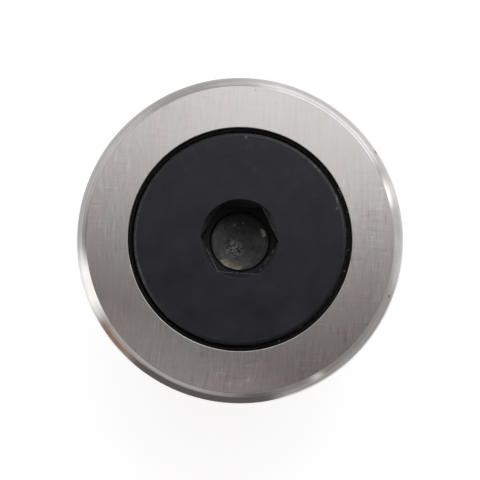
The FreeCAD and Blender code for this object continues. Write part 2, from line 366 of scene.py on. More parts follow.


# Face of the ring: flat ground, with fine straight lines up the picture and fainter ones across it. Scuffs,
# of which only the strongest lines show, lie on its right and left, and a haze towards its foot, rougher and
# lifted by painted light. Painted shade darkens the left, the foot and the lower right. A second, duller
# gloss is mixed with the one that shows the lines.
def groundFace():
    p = faceSteel
    upright = camera["turn"]
    material, tree, shader = newMaterial("groundFaceSteel", Metallic=1.0)
    strokes = [(lines(tree, width, length, upright + turn), share)
               for width, length, turn, share in p["strokes"]]
    colour = toneColour(tree, weighed(tree, *strokes), p)
    tint = fit(tree, lines(tree, *p["tintLines"], upright), *p["tintSpread"], 0.0, 1.0)
    colour = blendColour(tree, 1.0, colour, blendColour(tree, tint, p["warm"], p["cool"]), "MULTIPLY")
    for turn, side in p["scuffs"]:
        scuff = calc(tree, "SUBTRACT", lines(tree, *p["scuffLines"], upright + turn), noiseMiddle)
        scuff = calc(tree, "MULTIPLY", scuff, calc(tree, "ABSOLUTE", scuff))
        scuff = calc(tree, "MULTIPLY", scuff, alongPicture(tree, *side))
        patch = fit(tree, patches(tree, p["scuffPatch"], 2), *p["scuffSpread"], *p["scuffLevels"])
        colour = dim(tree, colour, calc(tree, "MULTIPLY_ADD", scuff, patch, 1.0))
    # Painted shade: darker to the left, at the foot and to the lower right, with a pinkish tint to the lower
    # right.
    for side, shadeTint in p["shadeTints"]:
        colour = blendColour(tree, alongPicture(tree, *side), colour, shadeTint, "MULTIPLY")
    # The haze is rougher, and painted light lifts its colour.
    haze = alongPicture(tree, *p["haze"])
    colour = dim(tree, colour, calc(tree, "MULTIPLY_ADD", haze, p["hazePaintedLight"], 1.0))
    for kind in ("pit", "nick"):
        marks = [(pictureSpot(right, up, ring["front"]), size) for right, up, size in p[kind + "s"]]
        colour = addMarks(tree, colour, marks, p[kind], p[kind + "Strength"])
    tree.links.new(colour, shader.inputs["Base Color"])
    width, length, turn = p["acrossSheen"]
    across = calc(tree, "SUBTRACT", lines(tree, width, length, upright + turn), noiseMiddle)
    across = calc(tree, "MULTIPLY", across, alongPicture(tree, *p["acrossSide"]))
    width, length, turn = p["upSheen"]
    height = calc(tree, "MULTIPLY_ADD", lines(tree, width, length, upright + turn), p["upShare"], across)
    cloud = calc(tree, "MULTIPLY_ADD", patches(tree, p["cloudSize"]), p["cloudShare"], p["sheenBase"])
    height = calc(tree, "ADD", height, cloud)
    sheen = fit(tree, height, *p["spread"], *p["rough"])
    sheen = addNode(tree, "Mix", {0: haze, 2: sheen, 3: p["hazeRough"]}).outputs[0]
    tree.links.new(sheen, shader.inputs["Roughness"])
    normal = bump(tree, height, p["depth"], calc(tree, "SUBTRACT", 1.0, haze))
    tree.links.new(normal, shader.inputs["Normal"])
    soft = addNode(tree, "BsdfPrincipled", {"Base Color": colour, "Metallic": 1.0, "Normal": normal,
                                            "Roughness": p["softRough"]})
    both = addNode(tree, "MixShader", {0: p["softShare"], 1: shader.outputs[0], 2: soft.outputs[0]})
    showInstead(tree, both)
    return material


# Rings here and below are what roundLines takes: width, across, reach and detail.
cornerSteel = {"light": (0.52, 0.51, 0.50, 1), "dark": (0.42, 0.41, 0.40, 1), "spread": (0.36, 0.64),
               "rough": (0.09, 0.15), "depth": 0.003, "rings": (0.15, "both", 3.0), "ringShare": 0.6,
               "cloudSize": 5.0, "cloudShare": 0.4, "pit": (0.05, 0.048, 0.045, 1), "pitStrength": 0.95,
               "pits": [(28.19, 18.2, 26.75, 0.62), (30.75, -11.75, 27.57, 0.36), (30.95, -12.1, 27.42, 0.3)]}


# Rounded corners: turned and polished, with lines round the axis and a few dents.
def turnedCorner():
    p = cornerSteel
    material, tree, shader = newMaterial("turnedCornerSteel", Metallic=1.0)
    rings = roundLines(tree, *p["rings"])
    tone = weighed(tree, (rings, p["ringShare"]), (patches(tree, p["cloudSize"]), p["cloudShare"]))
    pits = [(pictureSpot(*place), size) for *place, size in p["pits"]]
    colour = addMarks(tree, toneColour(tree, tone, p), pits, p["pit"], p["pitStrength"])
    dress(tree, shader, p, colour, tone, rings)
    return material


treadSteel = {"light": (0.66, 0.65, 0.63, 1), "dark": (0.50, 0.49, 0.47, 1), "spread": (0.36, 0.64),
              "rough": (0.2, 0.32), "depth": 0.01, "rings": (0.09, "height", 6.0, 4.0), "ringShare": 0.45,
              "bands": (0.8, "height", 2.0, 2.0), "bandShare": 0.3, "cloudSize": 7.0, "cloudShare": 0.25}


# Tread: ground round the axis, finer than the corners.
def groundTread():
    p = treadSteel
    material, tree, shader = newMaterial("groundTreadSteel", Metallic=1.0)
    rings = roundLines(tree, *p["rings"])
    bands = roundLines(tree, *p["bands"])
    cloud = patches(tree, p["cloudSize"])
    tone = weighed(tree, (bands, p["bandShare"]), (rings, p["ringShare"]), (cloud, p["cloudShare"]))
    dress(tree, shader, p, toneColour(tree, tone, p), tone, rings)
    return material


boreSteel = {"light": (0.30, 0.29, 0.28, 1), "dark": (0.12, 0.11, 0.10, 1), "spread": (0.4, 0.6),
             "rough": (0.25, 0.4), "depth": 0.01, "rings": (0.2, "both", 3.0), "filmSize": 2.5}


# Inside of the ring, under a film of dark grease.
def greasyBore():
    p = boreSteel
    material, tree, shader = newMaterial("greasyBoreSteel", Metallic=1.0)
    film = patches(tree, p["filmSize"])
    dress(tree, shader, p, toneColour(tree, film, p), film, roundLines(tree, *p["rings"]))
    return material


# What all black finishes share.
oxide = {"tint": (0.88, 0.89, 1.0, 1), "spread": (0.35, 0.65), "markReach": 2.0, "bloomSize": 6.0,
         "bloomShare": 0.8, "grainSize": 0.25, "grainShare": 0.2, "grainHeight": 0.5, "dustSize": 2.6,
         "dustSpread": (0.5, 0.68), "chipStrength": 0.5}
# The head's dust lies on its upper side, towards the lamp, where it also stands for a painted sheen.
headBlack = {"dark": (0.003, 0.0035, 0.0075, 1), "light": (0.0135, 0.0135, 0.018, 1), "rough": (0.28, 0.40),
             "gloss": 0.46, "marks": 0.25, "depth": 0.005, "dustAndSheen": (0.022, 0.022, 0.019, 1),
             "dustAndSheenSide": (285, 2.0, 16.0, 0.0, 0.8), "chip": (0.22, 0.22, 0.22, 1), "chipHeight": 28.9,
             "chips": [(273.3, 21.3, 0.5), (273.5, 21.0, 0.4), (342.5, 21.0, 0.4)]}
shankBlack = {"dark": (0.010, 0.010, 0.011, 1), "light": (0.022, 0.022, 0.024, 1), "rough": (0.36, 0.52),
              "gloss": 0.45, "marks": 0.12, "depth": 0.012}
# The mouth's and the ledge's paintedShade lists are painted shade: darker towards the top, the upper right
# and the lower left.
mouthBlack = {"dark": (0.006, 0.006, 0.007, 1), "light": (0.013, 0.013, 0.015, 1), "rough": (0.38, 0.50),
              "gloss": 0.5, "marks": 0.4, "depth": 0.01,
              "paintedShade": [(262, 2.9, 6.0, 1.0, 0.35), (125, 3.5, 8.0, 1.0, 0.66)]}
socketBlack = {"dark": (0.003, 0.003, 0.004, 1), "light": (0.007, 0.007, 0.008, 1), "rough": (0.45, 0.60),
               "gloss": 0.4, "marks": 0.4, "depth": 0.01}
ledgeBlack = {"dark": (0.016, 0.016, 0.015, 1), "light": (0.044, 0.043, 0.040, 1), "rough": (0.6, 0.75),
              "gloss": 0.35, "marks": 0.3, "depth": 0.01, "paintedShade": [(300, 0.0, 6.0, 1.0, 0.55)]}
# The pilot's rim is painted nearly black: painted shade in the crease round the pilot.
shadedRimBlack = {"dark": (0.002, 0.002, 0.002, 1), "light": (0.004, 0.004, 0.004, 1), "rough": (0.5, 0.65),
            "gloss": 0.2, "marks": 0.3, "depth": 0.01}


# Black oxide: nearly even, with a faint bloom and fine turning marks. It may have dust with a painted sheen
# on one side, chips down to the steel, and painted shade that takes its colour and gloss away on one side.
def blackOxide(name, finish):
    p = {**oxide, **finish}
    material, tree, shader = newMaterial(name)
    shader.inputs["Specular IOR Level"].default_value = p["gloss"]
    shader.inputs["Specular Tint"].default_value = p["tint"]
    grain = patches(tree, p["grainSize"], 2)
    tone = weighed(tree, (grain, p["grainShare"]), (patches(tree, p["bloomSize"], 4), p["bloomShare"]))
    colour = toneColour(tree, tone, p)
    # Dust, and painted sheen on the side that the mask picks.
    if "dustAndSheen" in p:
        dustAndSheen = fit(tree, patches(tree, p["dustSize"], 4), *p["dustSpread"], 0.0, 1.0)
        dustAndSheen = calc(tree, "MULTIPLY", dustAndSheen, alongPicture(tree, *p["dustAndSheenSide"]))
        colour = blendColour(tree, dustAndSheen, colour, p["dustAndSheen"])
    if "chips" in p:
        chips = [(roundSpot(around, radius, p["chipHeight"]), size) for around, radius, size in p["chips"]]
        colour = addMarks(tree, colour, chips, p["chip"], p["chipStrength"])
    gloss = p["gloss"]
    # Painted shade: colour and gloss dimmed towards one side.
    for side in p.get("paintedShade", []):
        level = alongPicture(tree, *side)
        colour = dim(tree, colour, level)
        gloss = calc(tree, "MULTIPLY", level, gloss)
        tree.links.new(gloss, shader.inputs["Specular IOR Level"])
    rings = roundLines(tree, p["marks"], "both", p["markReach"])
    dress(tree, shader, p, colour, tone, calc(tree, "MULTIPLY_ADD", grain, p["grainHeight"], rings))
    return material


stud = {"end": -50.0, "centreHole": 2.5, "centreDepth": 4.33, "tipShare": 0.02, "thread": 11.975,
        "endCut": 1.6, "threadTop": -28.5, "threadInset": 0.03, "relief": 10.8, "reliefTop": -25.0,
        "reliefCut": 1.2, "spigot": 12.0, "undercut": 11.7, "undercutEnd": -1.5, "undercutCut": 0.3,
        "seat": 12.8, "seatEnd": 0.3, "thrust": 5.3, "journal": 14.1, "headBack": 23.7, "head": 22.01,
        "front": 29.0, "headCut": 0.6,
        "mouth": 8.233, "mouthLead": 0.15, "flat": 7.0, "floor": 21.0, "pilot": 6.0, "pilotCut": 0.45,
        "pilotFloor": 18.5, "drillTip": 14.895, "pitch": 1.5, "threadDepth": 0.92, "crestHalf": 1 / 16,
        "rootHalf": 1 / 8, "rowsPerPitch": 20, "columns": 192}

drilled = {"dark": (0.16, 0.16, 0.16, 1), "light": (0.36, 0.36, 0.365, 1), "spread": (0.35, 0.65),
           "metal": 0.3, "rough": (0.35, 0.5), "depth": 0.02, "rings": (0.35, "radius", 2.0),
           "ringShare": 0.5, "cloudSize": 2.0, "cloudShare": 0.5, "topShade": (280, 0.8, 4.6, 1.0, 0.25),
           "sideShade": (195, -6.0, 6.0, 0.62, 1.0), "crust": (0.8, 0.8, 0.81, 1),
           "crustPit": (0.07, 0.07, 0.07, 1), "crustAt": (-1.38, -1.2), "crustSize": 2.45, "crustSoft": 0.6,
           "lumpSize": 0.6, "lumpSpread": (0.44, 0.58), "lumpHeight": 1.5,
           "fleck": (0.5, 0.49, 0.45, 1), "fleckStrength": 0.65,
           "flecks": [(0.57, 4.0, 0.36), (-1.25, 3.68, 0.42), (-1.0, 3.6, 0.3), (-0.32, 2.98, 0.36),
                      (-4.2, 3.0, 0.3), (-3.5, 2.8, 0.34), (-0.1, 2.0, 0.22)]}


# Height of the drilled cone at a distance from the axis.
def coneHeight(radius):
    slope = (stud["pilotFloor"] - stud["drillTip"]) / stud["pilot"]
    return stud["drillTip"] + slope * radius


# Place on the drilled cone as seen in the picture.
def coneSpot(right, up):
    return pictureSpot(right, up, coneHeight(math.hypot(right, up)))


# Drilled bottom of the socket: dull steel with rings from the drill, with painted shadow towards the top and
# painted shade towards the right, a rough crust near the middle and a few flecks.
def drilledFloor():
    p = drilled
    material, tree, shader = newMaterial("drilledFloorSteel", Metallic=p["metal"])
    rings = roundLines(tree, *p["rings"])
    tone = weighed(tree, (rings, p["ringShare"]), (patches(tree, p["cloudSize"]), p["cloudShare"]))
    lumps = patches(tree, p["lumpSize"])
    crust = blendColour(tree, fit(tree, lumps, *p["lumpSpread"], 0.0, 1.0), p["crustPit"], p["crust"])
    near = spot(tree, coneSpot(*p["crustAt"]), p["crustSize"], p["crustSoft"])
    colour = blendColour(tree, near, toneColour(tree, tone, p), crust)
    # Painted shadow at the top, where the socket's wall hides the light, and painted shade to the right.
    for side in (p["topShade"], p["sideShade"]):
        colour = dim(tree, colour, alongPicture(tree, *side))
    flecks = [(coneSpot(right, up), size) for right, up, size in p["flecks"]]
    colour = addMarks(tree, colour, flecks, p["fleck"], p["fleckStrength"])
    dress(tree, shader, p, colour, tone, calc(tree, "MULTIPLY_ADD", lumps, p["lumpHeight"], rings))
    return material


# What both worn edges share, then each of them. A chip is its angle, radius, height and size.
wear = {"metal": 0.7, "rough": (0.5, 0.3), "grainSize": 0.3, "depth": 0.01, "chipStrength": 0.6, "chips": []}
# Painted shade darkens the socket's edge towards the upper left and the head's edge towards the lower right.
socketEdge = {"name": "wornSocketEdge", "black": (0.006, 0.006, 0.0065, 1), "bare": (0.36, 0.355, 0.35, 1),
              "patch": 1.2, "rub": (0.42, 0.56), "sides": [(236, 0.8, 4.4, 1.0, 0.0)], "gloss": 0.25,
              "paintedShade": (236, 0.8, 4.4, 1.0, 0.4)}
headEdge = {"name": "rubbedHeadEdge", "black": (0.007, 0.0072, 0.010, 1), "bare": (0.30, 0.30, 0.30, 1),
            "patch": 0.9, "rub": (0.36, 0.82), "gloss": 0.46, "paintedShade": (55, 8.0, 20.0, 1.0, 0.62),
            "sides": [(320, 6.0, 19.0, 0.0, 0.16), (176, 15.0, 21.0, 0.0, 0.34)],
            "chips": [(163, 21.7, 28.7, 0.3), (165, 21.7, 28.7, 0.3), (316, 21.7, 28.7, 0.35),
                      (319, 21.6, 28.8, 0.3), (336, 21.8, 28.6, 0.3), (337.5, 21.7, 28.7, 0.35),
                      (339, 21.6, 28.8, 0.3)]}


# Edge with its black rubbed through to dull steel in places, on one side more than on the other, and with
# painted shade that dims its colour and gloss towards one side.
def wornEdge(edge):
    p = {**wear, **edge}
    material, tree, shader = newMaterial(p["name"])
    share = 0.0
    for side in p["sides"]:
        share = calc(tree, "MAXIMUM", share, alongPicture(tree, *side))
    rub = calc(tree, "MULTIPLY", fit(tree, patches(tree, p["patch"]), *p["rub"], 0.0, 1.0), share)
    # Painted shade.
    paintedShade = alongPicture(tree, *p["paintedShade"])
    colour = dim(tree, blendColour(tree, rub, p["black"], p["bare"]), paintedShade)
    chips = [(roundSpot(*place), size) for *place, size in p["chips"]]
    colour = addMarks(tree, colour, chips, p["bare"], p["chipStrength"])
    tree.links.new(colour, shader.inputs["Base Color"])
    tree.links.new(calc(tree, "MULTIPLY", paintedShade, p["gloss"]), shader.inputs["Specular IOR Level"])
    tree.links.new(calc(tree, "MULTIPLY", rub, p["metal"]), shader.inputs["Metallic"])
    tree.links.new(fit(tree, rub, 0.0, 1.0, *p["rough"]), shader.inputs["Roughness"])
    tree.links.new(bump(tree, patches(tree, p["grainSize"], 2), p["depth"]), shader.inputs["Normal"])
    return material


grease = {"light": (0.60, 0.57, 0.49, 1), "dark": (0.24, 0.215, 0.145, 1), "spread": (0.0, 1.0),
          "rough": 0.65, "depth": 0.08, "lumpSize": 0.7, "lumpSpread": (0.3, 0.7), "lumpLevels": (-0.4, 0.4)}


# Dried grease: brownish, paler where its own attribute says that its edge is.
def driedGrease():
    p = grease
    material, tree, shader = newMaterial("driedGrease", Roughness=p["rough"])
    lumps = patches(tree, p["lumpSize"], 4)
    paleness = addNode(tree, "Attribute", attribute_name="paleness").outputs["Fac"]
    paleness = calc(tree, "ADD", paleness, fit(tree, lumps, *p["lumpSpread"], *p["lumpLevels"]))
    tree.links.new(toneColour(tree, paleness, p), shader.inputs["Base Color"])
    tree.links.new(bump(tree, lumps, p["depth"]), shader.inputs["Normal"])
    return material


# Heights from the ring's middle: the lip's painted-light level holds up to the first, the face's
# painted-shade level from the second on.
rubber = {"dark": (0.001, 0.001, 0.001, 1), "light": (0.009, 0.0088, 0.008, 1), "spread": (0.38, 0.62),
          "rough": (0.5, 0.7), "depth": 0.05, "gloss": 0.25, "grainSize": 0.4, "filmSize": 3.0,
          "dustAndSheen": (310, -12.0, 18.0, 1.0, 2.2), "heights": (12.35, 12.8),
          "lipPaintedLight": (25, 4.0, 20.0, 3.0, 10.0), "facePaintedShade": (25, 4.0, 20.0, 0.75, 0.45),
          "glint": (0.6, 0.59, 0.57, 1), "glintStrength": 0.7, "glintHeight": 27.3,
          "glints": [(333.5, 22.9, 0.25), (335, 22.95, 0.25), (336.5, 22.98, 0.25), (345.8, 23.0, 0.22),
                     (5.5, 22.5, 0.22), (12, 22.4, 0.16), (17, 22.6, 0.22), (69, 22.5, 0.22)]}


# Seals: matt black rubber, lighter to the upper right with dust and painted sheen, painted light on the lip,
# strongest to the lower right, painted shade on the face, and a few painted glints.
def sealRubber():
    p = rubber
    material, tree, shader = newMaterial("sealRubber")
    shader.inputs["Specular IOR Level"].default_value = p["gloss"]
    grain = patches(tree, p["grainSize"])
    # Dust and painted sheen towards the upper right.
    colour = dim(tree, toneColour(tree, grain, p), alongPicture(tree, *p["dustAndSheen"]))
    # Painted light lifts the lip in the gap and painted shade dims the face, both more to the lower right.
    height = addNode(tree, "SeparateXYZ", {0: objectPlace(tree)}).outputs[2]
    fromMiddle = calc(tree, "ABSOLUTE", calc(tree, "SUBTRACT", height, ringMiddle * mm))
    lip, face = p["heights"]
    levels = alongPicture(tree, *p["lipPaintedLight"]), alongPicture(tree, *p["facePaintedShade"])
    colour = dim(tree, colour, fit(tree, fromMiddle, lip * mm, face * mm, *levels))
    # Painted glints.
    glints = [(roundSpot(around, radius, p["glintHeight"]), size) for around, radius, size in p["glints"]]
    colour = addMarks(tree, colour, glints, p["glint"], p["glintStrength"])
    dress(tree, shader, p, colour, patches(tree, p["filmSize"], 2), grain)
    return material


rollerSteel = {"light": (0.72, 0.72, 0.71, 1), "dark": (0.55, 0.54, 0.52, 1), "spread": (0.0, 1.0),
               "rough": (0.08, 0.2), "depth": 0.003, "filmSize": 2.0, "lay": (2.0, 0.1)}


# Rollers: hardened and polished, under a thin film of oil.
def polishedRoller():
    p = rollerSteel
    material, tree, shader = newMaterial("polishedRollerSteel", Metallic=1.0)
    film = patches(tree, p["filmSize"])
    dress(tree, shader, p, toneColour(tree, film, p), film, lines(tree, *p["lay"]))
    return material


faceLook, cornerLook, treadLook, boreLook = groundFace(), turnedCorner(), groundTread(), greasyBore()
headLook = blackOxide("blackOxideHead", headBlack)
shankLook = blackOxide("blackOxideShank", shankBlack)
mouthLook = blackOxide("blackOxideMouth", mouthBlack)
socketLook = blackOxide("blackOxideSocket", socketBlack)
ledgeLook = blackOxide("blackOxideLedge", ledgeBlack)
rimLook = blackOxide("blackOxideRimShaded", shadedRimBlack)
drilledLook, greaseLook = drilledFloor(), driedGrease()
wornLook, rubbedLook = wornEdge(socketEdge), wornEdge(headEdge)
sealLook, rollerLook = sealRubber(), polishedRoller()
print("materials made")


# The ring's section, turned about Z: up the tread side from the back of its mouth, then down its bore.
def makeRing():
    p = ring
    onFace, onCorner, onTread, onBore = range(4)
    axisOff = p["tread"] - p["cornerRadius"]
    cornerTurn = math.acos((p["faceEdge"] - axisOff) / p["cornerRadius"])
    rise = p["cornerRadius"] * math.sin(cornerTurn)
    radius, turn, steps = p["cornerRadius"], math.degrees(cornerTurn), p["cornerSteps"]
    backArc = arcCorners((axisOff, p["back"] + rise), radius, -turn, 0, steps, onCorner)
    frontArc = arcCorners((axisOff, p["front"] - rise), radius, 0, turn, steps, onCorner)
    backArc[0] = backArc[0][:2] + (p["edgeRound"], onCorner)
    backArc[-1] = backArc[-1][:3] + (onTread,)
    frontArc[-1] = frontArc[-1][:2] + (p["edgeRound"], onFace)
    corners = [(p["mouth"], p["back"], p["mouthRound"], onFace)] + backArc
    treadHeights = np.linspace(p["back"] + rise, p["front"] - rise, p["treadRows"])[1:-1]
    corners += [(p["tread"], z, 0, onTread) for z in treadHeights] + frontArc
    corners += [
        (p["mouth"], p["front"], p["mouthRound"], onCorner),
        (p["seat"], p["front"] - p["mouthCut"], 0.05, onBore),
        (p["seat"], p["frontStep"], 0.1, onBore),
        (p["raceway"], p["frontStep"], 0.2, onBore),
        (p["raceway"], p["ribFront"], 0.15, onBore),
        (p["rib"], p["ribFront"], 0.2, onBore),
        (p["rib"], p["ribBack"], 0.2, onBore),
        (p["raceway"], p["ribBack"], 0.15, onBore),
        (p["raceway"], p["backStep"], 0.2, onBore),
        (p["seat"], p["backStep"], 0.1, onBore),
        (p["seat"], p["back"] + p["mouthCut"], 0.05, onCorner),
    ]
    piece = turnedRing("outerRing", corners, p["columns"], [faceLook, cornerLook, treadLook, boreLook])
    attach(piece, "outer_ring")
    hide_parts("outer_ring")


makeRing()
print("ring made")


seals = {"seat": 23.11, "lip": 22.11, "hollow": 22.56, "face": 27.3, "shoulder": 24.0, "bevel": 0.45,
         "land": 0.4, "columns": 256}


# One seal's section, turned about Z; the rear one has the heights mirrored in the ring's middle plane.
def makeSeal(name, node, mirrored):
    p = seals
    lipStart = p["face"] - p["bevel"]
    lipEnd = lipStart - p["land"]
    corners = [
        (p["seat"], p["shoulder"], 0.05, 0),
        (p["seat"], p["face"], 0.12, 0),
        (p["hollow"], p["face"], 0.1, 0),
        (p["lip"], lipStart, 0.08, 0),
        (p["lip"], lipEnd, 0.08, 0),
        (p["hollow"], lipEnd - p["bevel"], 0.1, 0),
        (p["hollow"], p["shoulder"], 0.05, 0),
    ]
    if mirrored:
        corners = [(r, 2 * ringMiddle - z, edge, look) for r, z, edge, look in reversed(corners)]
    piece = turnedRing(name, corners, p["columns"], [sealLook])
    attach(piece, "outer_ring")
    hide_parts(node)


makeSeal("frontSeal", "front_seal", False)
makeSeal("rearSeal", "rear_seal", True)
print("seals made")


thrustRing = {"edge": 22.01, "bore": 12.8, "front": 5.3, "edgeCut": 0.6, "boreCut": 0.5, "columns": 256}


# The thrust ring's section, turned about Z.
def makeThrustRing():
    p = thrustRing
    corners = [
        (p["bore"] + p["boreCut"], 0, 0.06, 0),
        (p["edge"] - p["edgeCut"], 0, 0.1, 0),
        (p["edge"], p["edgeCut"], 0.1, 0),
        (p["edge"], p["front"], 0.1, 0),
        (p["bore"] + p["boreCut"], p["front"], 0.06, 0),
        (p["bore"], p["front"] - p["boreCut"], 0.06, 0),
        (p["bore"], p["boreCut"], 0.06, 0),
    ]
    piece = turnedRing("thrustRing", corners, p["columns"], [headLook])
    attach(piece, "stud")
    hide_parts("thrust_ring")


makeThrustRing()
print("thrust ring made")


# Thread: radius = outside radius less the depth times how far the point is from the crest of a helix that
# climbs one pitch a turn (flat crest of 1/8 pitch, flat root of 1/4), and never outside the blank's outline.
def threadRows(angles):
    p = stud
    count = int((p["threadTop"] - p["end"]) / p["pitch"] * p["rowsPerPitch"])
    heights = np.linspace(p["end"] + p["threadInset"], p["threadTop"] - p["threadInset"], count)[:, None]
    phase = (heights / p["pitch"] - angles / (2 * np.pi)) % 1
    fromCrest = np.abs(phase - 0.5)
    slope = 0.5 - p["crestHalf"] - p["rootHalf"]
    depth = np.clip((fromCrest - p["crestHalf"]) / slope, 0, 1) * p["threadDepth"]
    blank = np.minimum(p["thread"] - p["endCut"] + heights - p["end"], p["thread"])
    blank = np.minimum(blank, p["relief"] + p["threadTop"] - heights)
    return np.minimum(p["thread"] - depth, blank), np.broadcast_to(heights, (count, len(angles)))


# Finishes of the stud, in the order of its materials.
onHead, onShank, onSocket, onDrilled, onWorn, onLedge, onRim, onMouth, onRubbed = range(9)

# Rows of the socket: shares of the wall's height and of the cone's radius, and small steps at its edges, each
# as (out from the wall or the pilot, up from the floor).
socket = {"wornWidth": 0.12, "wallGap": 0.06, "wallFoot": 0.2, "wallShares": (0.05, 0.35, 0.65, 0.97),
          "fillet": [(0.0, 0.12), (-0.05, 0.03), (-0.15, 0.0)], "rimEdge": [(0.05, 0.0), (0.0, -0.03)],
          "rimFoot": [(0.02, 0.0), (0.0, -0.1)], "bottomEdge": [(0.0, 0.3), (-0.06, 0.06)],
          "coneShares": (0.97, 0.83, 0.67, 0.5, 0.33, 0.17, 0.07)}


# Hexagon socket, from its mouth to the drill point. Its wall at an angle is flat / cos(angle off the flat),
# and the 45 degree mouth cone ends where it meets that wall. Gives radii, heights and finishes.
def socketRows(angles):
    p, s = stud, socket
    offFlat = (angles % (np.pi / 3)) - np.pi / 6
    wall = p["flat"] / np.cos(offFlat)
    coneEnd = p["front"] - (p["mouth"] - wall)
    one = np.ones_like(angles)
    wideRim = p["pilot"] + p["pilotCut"]
    rimFoot = p["floor"] - p["pilotCut"]
    wornRows = [(wall + s["wornWidth"], coneEnd + s["wornWidth"])]
    walls = [(wall, coneEnd - s["wallGap"])]
    walls += [(wall, coneEnd + (p["floor"] + s["wallFoot"] - coneEnd) * t) for t in s["wallShares"]]
    ledge = [(wall + out, (p["floor"] + up) * one) for out, up in s["fillet"]]
    ledge += [((wall + wideRim) / 2, p["floor"] * one)]
    rim = [((wideRim + out) * one, (p["floor"] + up) * one) for out, up in s["rimEdge"]]
    rim += [((p["pilot"] + out) * one, (rimFoot + up) * one) for out, up in s["rimFoot"]]
    bottom = [((p["pilot"] + out) * one, (p["pilotFloor"] + up) * one) for out, up in s["bottomEdge"]]
    bottom += [(r * one, coneHeight(r) * one) for r in p["pilot"] * np.array(s["coneShares"])]
    groups = [(onWorn, wornRows), (onSocket, walls), (onLedge, ledge), (onRim, rim), (onDrilled, bottom)]
    radii = np.stack([r for look, rows in groups for r, z in rows])
    heights = np.stack([z for look, rows in groups for r, z in rows])
    return radii, heights, np.array([look for look, rows in groups for row in rows])


# The stud in one skin, from the lathe centre in its end up to the drill point in its socket: rows of the
# rounded outline, then the thread's, the outline's again up to the socket's mouth, and the socket's.
def makeStud():
    p = stud
    angles = wholeTurn(p["columns"])
    tipHeight = p["end"] + p["centreDepth"] * (1 - p["tipShare"])
    endCorners = [(p["centreHole"] * p["tipShare"], tipHeight, 0, onShank),
                  (p["centreHole"], p["end"], 0.08, onShank),
                  (p["thread"] - p["endCut"], p["end"], 0.1, onShank),
                  (p["thread"], p["end"] + p["endCut"], 0, onShank)]
    low, lowLooks = roundedOutline(endCorners)
    low, lowLooks = low[:-2], lowLooks[:-2]
    threadRadii, threadHeights = threadRows(angles)
    upper = [(p["relief"] + p["threadInset"], p["threadTop"] - p["threadInset"], 0, onShank),
             (p["relief"], p["threadTop"], 0.3, onShank),
             (p["relief"], p["reliefTop"] - p["reliefCut"], 0.3, onShank),
             (p["spigot"], p["reliefTop"], 0.15, onShank),
             (p["spigot"], p["undercutEnd"] - p["undercutCut"], 0.1, onShank),
             (p["undercut"], p["undercutEnd"], 0.2, onShank),
             (p["undercut"], p["seatEnd"], 0.1, onShank),
             (p["seat"], p["seatEnd"], 0.1, onShank),
             (p["seat"], p["thrust"], 0.1, onShank),
             (p["journal"], p["thrust"], 0.2, onShank),
             (p["journal"], p["headBack"], 0.2, onHead),
             (p["head"], p["headBack"], 0.1, onHead),
             (p["head"], p["front"] - p["headCut"], 0.15, onRubbed),
             (p["head"] - p["headCut"], p["front"], 0.15, onHead),
             (p["mouth"], p["front"], 0.12, onMouth),
             (p["mouth"] - p["mouthLead"], p["front"] - p["mouthLead"], 0, onMouth)]
    high, highLooks = roundedOutline(upper)
    high, highLooks = high[1:-1], highLooks[1:-1]
    socketRadii, socketHeights, socketLooks = socketRows(angles)
    wide = np.ones(p["columns"])
    radii = np.concatenate([low[:, :1] * wide, threadRadii, high[:, :1] * wide, socketRadii])
    heights = np.concatenate([low[:, 1:] * wide, threadHeights, high[:, 1:] * wide, socketHeights])
    finishes = np.concatenate([lowLooks, np.full(len(threadRadii), onShank), highLooks, socketLooks])
    tips = np.array([(0, 0, p["end"] + p["centreDepth"]), (0, 0, p["drillTip"])]) * mm
    looks = [headLook, shankLook, socketLook, drilledLook, wornLook,
             ledgeLook, rimLook, mouthLook, rubbedLook]
    piece = skin("stud", turnedGrid(radii, heights, angles), finishes, looks, tips)
    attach(piece, "stud")
    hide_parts("stud")


makeStud()
print("stud made")


flakes = [
    {"name": "greaseFlake", "around": 110.5, "radius": 5.05, "reach": (2.15, 0.95), "thick": 0.22,
     "wobble": 0.4, "paleness": 0.35},
    {"name": "greaseCrumb", "around": 338.5, "radius": 5.2, "reach": (0.95, 0.45), "thick": 0.18,
     "wobble": 2.1, "paleness": 0.8},
]
# What the flakes share: a wave is its size, its lobes and its wobbles.
flakeForm = {"columns": 72, "rows": 15, "pole": 80, "waves": [(0.13, 3, 1), (0.08, 7, 2)], "squareness": 0.7,
             "wallGap": 0.02, "dome": 0.4, "lift": 0.35, "ripple": 0.3, "rippleAlong": 5, "rippleAcross": 3,
             "paleAcross": 0.7, "paleAlong": 0.3}


